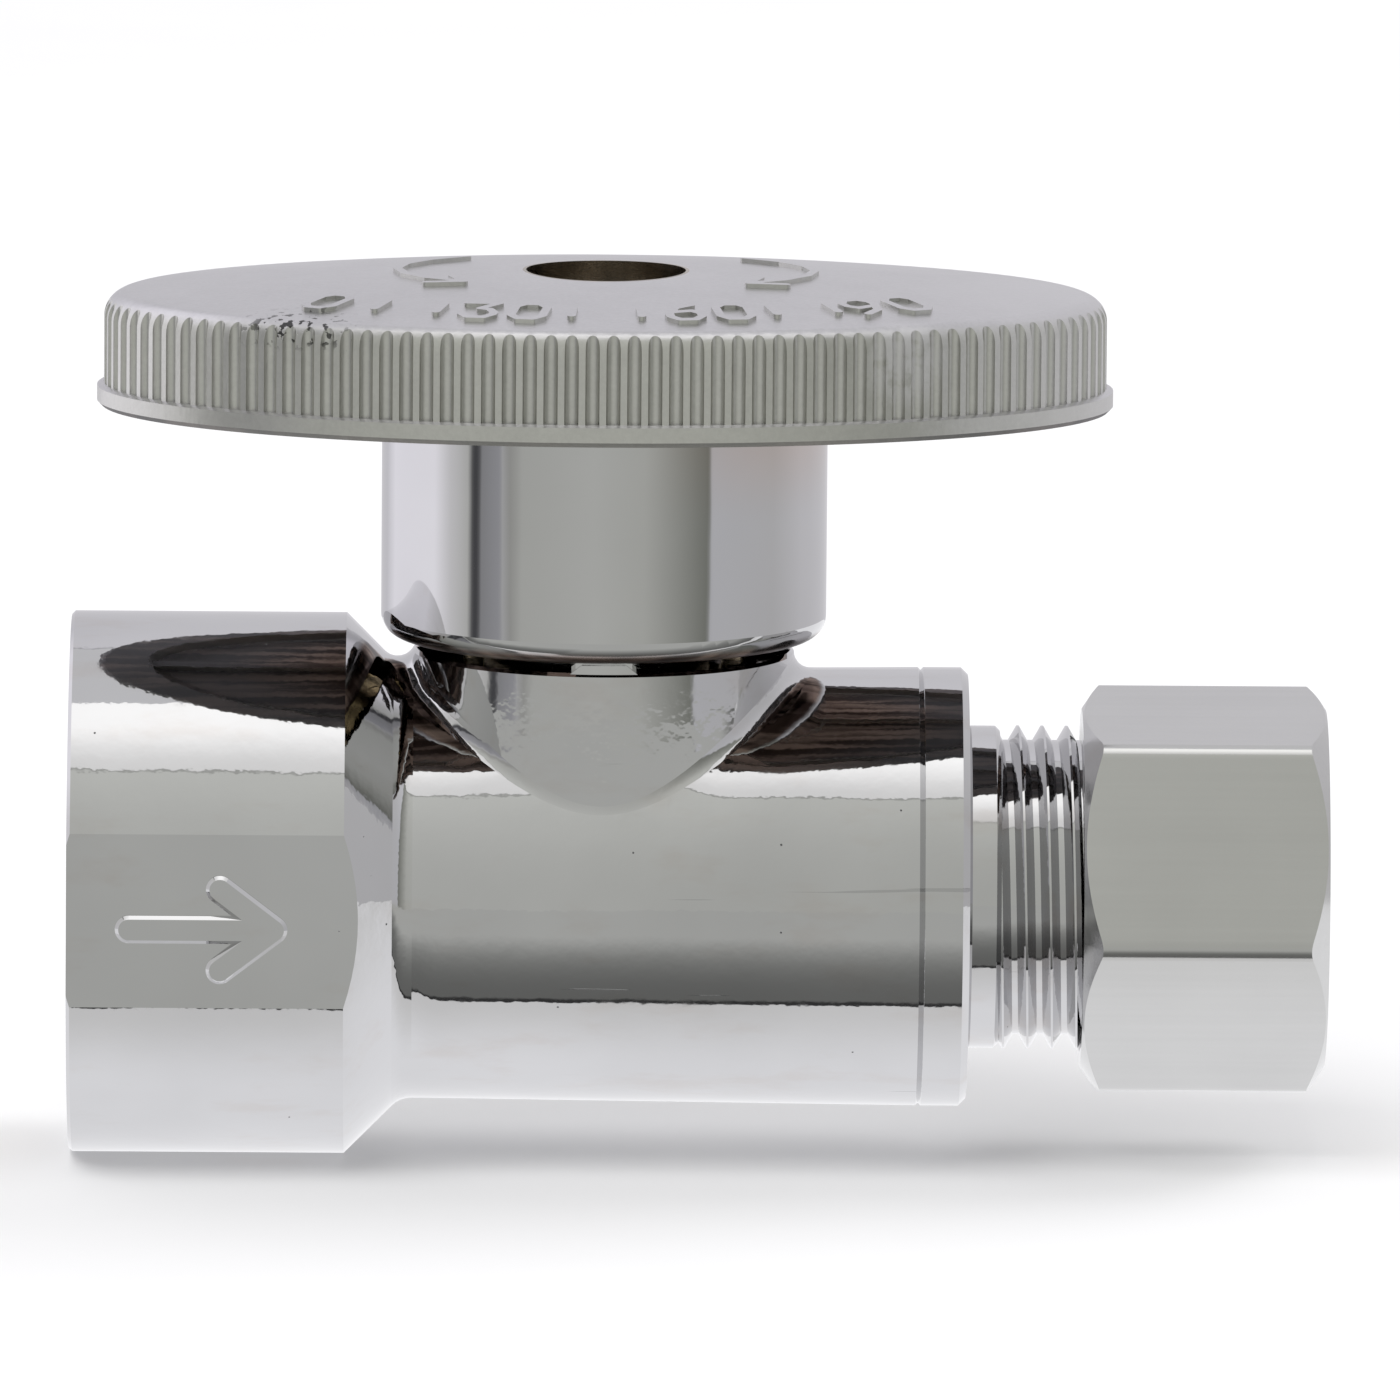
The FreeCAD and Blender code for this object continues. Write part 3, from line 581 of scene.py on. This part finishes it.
class VALVE_OT_finish_working_parts(bpy.types.Operator):
    """Finish the brass, steel, plastic and rubber parts inside the valve"""

    bl_idname = "valve.finish_working_parts"
    bl_label = "Finish the Working Parts"

    def execute(self, context):
        settings = context.scene.valve_working_parts
        dress(BRASS_PARTS, turned_metal("turned_brass", settings.brass, BRASS_ROUGHNESS))
        dress(STEEL_PARTS, turned_metal("zinc_plate", settings.steel, STEEL_ROUGHNESS))
        dress(PLASTIC_PARTS, seat_plastic(settings.plastic))
        dress(RUBBER_PARTS, seal_rubber(settings.rubber))
        return {"FINISHED"}


def turned_metal(name, colour, roughness):
    """Machined metal with fine tool marks and a little tarnish."""
    shade = Shade(name)
    place = shade.place()
    tool = shade.noise(shade.stretched(place, (2600.0, 2600.0, 6000.0)), 1.0, 2.0)
    tarnish = shade.ramp(shade.noise(place, 420.0, 4.0, 0.6), 0.45, 0.75)
    tone = shade.scaled(rgba(colour), 0.86 + tool * 0.2)
    darker = tuple(channel * 0.45 for channel in colour[:3])
    tone = shade.blend(tarnish * 0.5, tone, rgba(darker))
    rough = roughness + tarnish * 0.15 + tool * 0.05
    normal = shade.bump(tool, 0.003 * MM)
    return shade.surface(base_color=tone, metallic=1.0, roughness=rough, normal=normal)


def seat_plastic(colour):
    """White, slightly waxy seat plastic with turning marks."""
    shade = Shade("seat_plastic_white")
    place = shade.place()
    marks = shade.noise(shade.stretched(place, (5200.0, 1500.0, 1500.0)), 1.0, 2.0)
    cloud = shade.noise(place, 500.0, 3.0)
    tone = shade.scaled(rgba(colour), 0.92 + cloud * 0.12)
    normal = shade.bump(marks, 0.004 * MM)
    return shade.surface(base_color=tone, roughness=0.36 + cloud * 0.1, normal=normal)


def seal_rubber(colour):
    """Moulded black rubber with a fine bloom."""
    shade = Shade("seal_rubber_black")
    place = shade.place()
    bloom = shade.ramp(shade.noise(place, 900.0, 4.0, 0.6), 0.4, 0.8)
    tone = shade.blend(bloom * 0.5, rgba(colour), BLOOM_TONE)
    normal = shade.bump(shade.noise(place, 6000.0, 2.0), 0.004 * MM)
    return shade.surface(base_color=tone, roughness=0.48 + bloom * 0.15, normal=normal)


# ---- floor, reflector cards, lights and camera ----

FLOOR_RADIUS = 8.0
DRUM_TOP_DEG = 55.5
SOFTBOX_HALF_DEG = 78.0
SOFTBOX_TONE = (1.5, 1.49, 1.47, 1.0)
SEAM_Y = -13.6 * MM
INLET_SEAM_SHIFT = 4.2 * MM
FRONT_FAR_Y = -42.0 * MM
FLOOR_DIM = (0.17, 0.172, 0.165, 1.0)
FLOOR_FRONT = (0.54, 0.545, 0.52, 1.0)
SEAM_TONE = (0.045, 0.045, 0.045, 1.0)
FLOOR_NEAR = (0.82, 0.815, 0.81, 1.0)
FLOOR_UNDER = (1.03, 1.03, 1.05, 1.0)
AMBIENT_TONE = (0.985, 0.98, 1.0, 1.0)
FILL_SHARE = 0.5
KEY_PLACE = (-0.25, -0.55, 0.85)
KEY_SIZE = 0.7
FILL_PLACE = (0.65, 0.45, 0.7)
FILL_SIZE = 0.6
SENSOR_WIDTH = 36.0


class StudioSettings(bpy.types.PropertyGroup):
    floor_colour: FloatVectorProperty(
        name="Floor colour",
        description="Pale floor under the valve",
        default=(0.90, 0.90, 0.90),
        subtype="COLOR",
        min=0.0,
        max=1.0,
    )
    ambient: FloatProperty(
        name="Ambient light",
        description="Strength of the even light from all round",
        default=0.78,
        min=0.0,
    )
    key_power: FloatProperty(
        name="Key power",
        description="Power of the large soft light over the front",
        default=5.0,
        min=0.0,
        unit="POWER",
    )
    drum_radius: FloatProperty(
        name="Card distance",
        description="Distance from the stem to the reflector cards",
        default=140 * MM,
        unit="LENGTH",
    )
    camera_place: FloatVectorProperty(
        name="Camera place",
        description="Where the camera stands",
        default=(18.96 * MM, -1.0, 157 * MM),
        subtype="XYZ",
        unit="LENGTH",
    )
    camera_target: FloatVectorProperty(
        name="Camera target",
        description="The point that the camera looks at",
        default=(27.2 * MM, 0.0, 8.09 * MM),
        subtype="XYZ",
        unit="LENGTH",
    )
    lens: FloatProperty(
        name="Lens",
        description="Focal length of the camera on a 36 mm sensor, in millimetres",
        default=600.6,
        min=1.0,
    )
    roll: FloatProperty(
        name="Roll",
        description="How far the camera is turned anticlockwise about its own axis",
        default=math.radians(0.45),
        subtype="ANGLE",
    )


class VALVE_OT_set_studio(bpy.types.Operator):
    """Lay the floor, hang the reflector cards and place the lights and the camera"""

    bl_idname = "valve.set_studio"
    bl_label = "Set the Studio"

    def execute(self, context):
        settings = context.scene.valve_studio
        lay_floor(settings)
        hang_drum(settings)
        hang_softbox(settings)
        lay_floor_cards(settings)
        light_room(context.scene, settings)
        place_camera(context.scene, settings)
        return {"FINISHED"}


def new_piece(name, mesh_maker, material):
    """A mesh object at the origin made by a bmesh function."""
    mesh = bpy.data.meshes.new(name)
    shape = bmesh.new()
    mesh_maker(shape)
    shape.to_mesh(mesh)
    shape.free()
    piece = bpy.data.objects.new(name, mesh)
    piece.data.materials.append(material)
    bpy.context.scene.collection.objects.link(piece)
    return piece


def reflector(name, mesh_maker, material):
    """A card that only shows in polished surfaces."""
    card = new_piece(name, mesh_maker, material)
    card.visible_camera = False
    card.visible_diffuse = False
    card.visible_shadow = False
    card.visible_transmission = False


def glow(name, colour_maker):
    """An evenly glowing material whose colour comes from a function of place."""
    shade = Shade(name)
    shader = shade.node("Emission", inputs={"Color": colour_maker(shade, shade.place())})
    shade.node_output(shader)
    shade.material.cycles.emission_sampling = "NONE"
    return shade.material


def bent_sheet(shape, profile, start_deg, end_deg):
    """Turns a line of (radius, height) points about the stem axis."""
    corners = [shape.verts.new((STEM_X, -radius, height)) for radius, height in profile]
    edges = [shape.edges.new(pair) for pair in zip(corners, corners[1:])]
    pivot = Vector((STEM_X, 0.0, 0.0))
    turn_to = Matrix.Rotation(math.radians(start_deg), 3, "Z")
    bmesh.ops.rotate(shape, cent=pivot, matrix=turn_to, verts=corners)
    sweep = end_deg - start_deg
    bmesh.ops.spin(
        shape,
        geom=corners + edges,
        cent=pivot,
        axis=(0.0, 0.0, 1.0),
        angle=math.radians(sweep),
        steps=max(8, int(sweep / 3)),
        use_merge=sweep >= 360.0,
    )


def lay_floor(settings):
    shade = Shade("pale_floor")
    grain = shade.noise(shade.place(), 60.0, 4.0)
    tone = shade.scaled(rgba(settings.floor_colour), 0.985 + grain * 0.03)
    shader = shade.node(
        "BsdfPrincipled",
        inputs={"Base Color": tone, "Roughness": 0.9, "Specular IOR Level": 0.0},
    )
    shade.node_output(shader)

    def disc(shape):
        bmesh.ops.create_circle(shape, cap_ends=True, segments=96, radius=FLOOR_RADIUS)
        bmesh.ops.translate(shape, vec=(STEM_X, 0.0, FLOOR_Z), verts=shape.verts[:])

    new_piece("floor", disc, shade.material)


# Brightness round the drum by direction from the stem: degrees from the front, to the right.
DRUM_TONES = (
    (-180.0, (0.70, 0.69, 0.72)),
    (-160.0, (0.66, 0.65, 0.68)),
    (-149.0, (0.70, 0.69, 0.73)),
    (-136.0, (1.02, 1.00, 1.06)),
    (-96.0, (1.05, 1.03, 1.08)),
    (-84.0, (0.74, 0.73, 0.74)),
    (-73.0, (0.58, 0.58, 0.56)),
    (-70.0, (0.08, 0.08, 0.085)),
    (-66.5, (0.08, 0.08, 0.085)),
    (-65.0, (0.30, 0.30, 0.31)),
    (-54.0, (0.38, 0.38, 0.40)),
    (-52.0, (0.50, 0.50, 0.50)),
    (-48.0, (0.40, 0.40, 0.38)),
    (-42.0, (0.53, 0.535, 0.505)),
    (-5.0, (0.58, 0.585, 0.555)),
    (20.0, (0.53, 0.535, 0.50)),
    (38.0, (0.37, 0.375, 0.345)),
    (53.0, (0.23, 0.235, 0.21)),
    (55.0, (0.60, 0.60, 0.62)),
    (95.0, (0.585, 0.58, 0.585)),
    (120.0, (0.68, 0.67, 0.69)),
    (180.0, (0.70, 0.69, 0.72)),
)


def drum_top(radius):
    """Height of the drum's upper edge, where the softbox begins."""
    return radius * math.tan(math.radians(DRUM_TOP_DEG))


def hang_drum(settings):
    """A ring of cards round the valve: dim in front, bright at the sides."""
    radius = settings.drum_radius
    top = drum_top(radius)

    def colour(shade, place):
        x, y, z = shade.split(place)
        angle = shade.node("Math", {"operation": "ARCTAN2"}, {0: x - STEM_X, 1: y * -1.0})
        share = angle / (2.0 * math.pi) + 0.5
        stops = [((degrees + 180.0) / 360.0, tone) for degrees, tone in DRUM_TONES]
        tone = shade.node("ValToRGB", {"stops": stops}, {"Fac": share})
        edge = shade.ramp(z, top - 9.0 * MM, top - 5.0 * MM)
        return shade.scaled(tone, 1.0 + shade.ramp(z, 0.0, top) * 0.24 - edge * 0.42)

    def ring(shape):
        bent_sheet(shape, ((radius, FLOOR_Z), (radius, top)), -180.0, 180.0)

    reflector("drum_card", ring, glow("drum_glow", colour))


def hang_softbox(settings):
    """The bright soft light over the front, as the metal sees it."""
    radius = settings.drum_radius
    low = drum_top(radius)

    def colour(shade, place):
        fade = shade.ramp(from_stem(shade, place), radius * 0.35, radius)
        patchy = shade.noise(place, 14.0, 2.0)
        return shade.scaled(SOFTBOX_TONE, 0.95 + patchy * 0.1 - fade * 0.34)

    def arch(shape):
        profile = ((radius, low), (radius * 0.62, low * 1.16), (radius * 0.12, low * 1.22))
        bent_sheet(shape, profile, -SOFTBOX_HALF_DEG, SOFTBOX_HALF_DEG)

    reflector("softbox_card", arch, glow("softbox_glow", colour))


def lay_floor_cards(settings):
    """The floor as the metal sees it: light underneath, a dark seam, dimmer in front."""
    height = FLOOR_Z + 0.01 * MM

    def colour(shade, place):
        x, y, _ = shade.split(place)
        y = y + (1.0 - shade.ramp(x, 13.0 * MM, 16.0 * MM)) * INLET_SEAM_SHIFT
        front = 1.0 - shade.ramp(y, FRONT_FAR_Y, SEAM_Y - 0.5 * MM)
        tone = shade.blend(front, FLOOR_DIM, FLOOR_FRONT)
        line = shade.ramp(y, SEAM_Y - 0.9 * MM, SEAM_Y - 0.4 * MM)
        tone = shade.blend(line, tone, SEAM_TONE)
        under = shade.ramp(y, SEAM_Y - 0.05 * MM, SEAM_Y + 0.05 * MM)
        depth = shade.ramp(y, SEAM_Y, SEAM_Y + 9.0 * MM)
        light = shade.blend(depth, FLOOR_NEAR, FLOOR_UNDER)
        return shade.blend(under, tone, light)

    def sheet(shape):
        bmesh.ops.create_circle(shape, cap_ends=True, segments=72, radius=settings.drum_radius)
        bmesh.ops.translate(shape, vec=(STEM_X, 0.0, height), verts=shape.verts[:])

    reflector("floor_card", sheet, glow("floor_card_glow", colour))


def light_room(scene, settings):
    """Even light all round, a large soft lamp over the front and a weaker one behind."""
    world = bpy.data.worlds.new("studio_world")
    world.use_nodes = True
    background = world.node_tree.nodes["Background"]
    background.inputs["Color"].default_value = AMBIENT_TONE
    background.inputs["Strength"].default_value = settings.ambient
    scene.world = world
    for name, power, place, size in (
        ("key_light", settings.key_power, KEY_PLACE, KEY_SIZE),
        ("fill_light", settings.key_power * FILL_SHARE, FILL_PLACE, FILL_SIZE),
    ):
        lamp = bpy.data.lights.new(name, "AREA")
        lamp.energy = power
        lamp.size = size
        light = bpy.data.objects.new(name, lamp)
        light.location = place
        aim = Vector((STEM_X, 0.0, 0.0)) - Vector(place)
        light.rotation_mode = "QUATERNION"
        light.rotation_quaternion = aim.to_track_quat("-Z", "Y")
        light.visible_glossy = False
        light.visible_camera = False
        scene.collection.objects.link(light)
    scene.view_settings.view_transform = "Standard"
    scene.view_settings.look = "None"


def place_camera(scene, settings):
    camera = bpy.data.objects.new("camera", bpy.data.cameras.new("camera"))
    camera.data.lens = settings.lens
    camera.data.sensor_width = SENSOR_WIDTH
    camera.data.clip_start = 0.05
    camera.data.clip_end = 60.0
    camera.location = settings.camera_place
    aim = Vector(settings.camera_target) - Vector(settings.camera_place)
    camera.rotation_mode = "QUATERNION"
    turn = Quaternion((0.0, 0.0, 1.0), settings.roll)
    camera.rotation_quaternion = aim.to_track_quat("-Z", "Y") @ turn
    scene.collection.objects.link(camera)
    scene.camera = camera


# ---- panel and registration ----

SETTINGS = (
    ("valve_plating", PlatingSettings, "valve.plate_body"),
    ("valve_handle", HandleSettings, "valve.finish_handle"),
    ("valve_nut", NutSettings, "valve.finish_nut"),
    ("valve_working_parts", WorkingPartSettings, "valve.finish_working_parts"),
    ("valve_studio", StudioSettings, "valve.set_studio"),
)


class VALVE_PT_panel(bpy.types.Panel):
    """Sizes, colours and steps of the stop valve"""

    bl_idname = "VALVE_PT_panel"
    bl_label = "Stop Valve"
    bl_space_type = "VIEW_3D"
    bl_region_type = "UI"
    bl_category = "Stop Valve"

    def draw(self, context):
        for attribute, group, operator in SETTINGS:
            box = self.layout.box()
            for name in group.__annotations__:
                box.prop(getattr(context.scene, attribute), name)
            box.operator(operator)


CLASSES = (
    PlatingSettings,
    HandleSettings,
    NutSettings,
    WorkingPartSettings,
    StudioSettings,
    VALVE_OT_plate_body,
    VALVE_OT_finish_handle,
    VALVE_OT_finish_nut,
    VALVE_OT_finish_working_parts,
    VALVE_OT_set_studio,
    VALVE_PT_panel,
)


def register():
    for made in CLASSES:
        bpy.utils.register_class(made)
    for attribute, group, _ in SETTINGS:
        setattr(bpy.types.Scene, attribute, PointerProperty(type=group))


def unregister():
    for attribute, _, _ in SETTINGS:
        delattr(bpy.types.Scene, attribute)
    for made in reversed(CLASSES):
        bpy.utils.unregister_class(made)


def main():
    register()
    bpy.ops.valve.plate_body()
    bpy.ops.valve.finish_handle()
    bpy.ops.valve.finish_nut()
    bpy.ops.valve.finish_working_parts()
    bpy.ops.valve.set_studio()


if __name__ == "__main__":
    main()
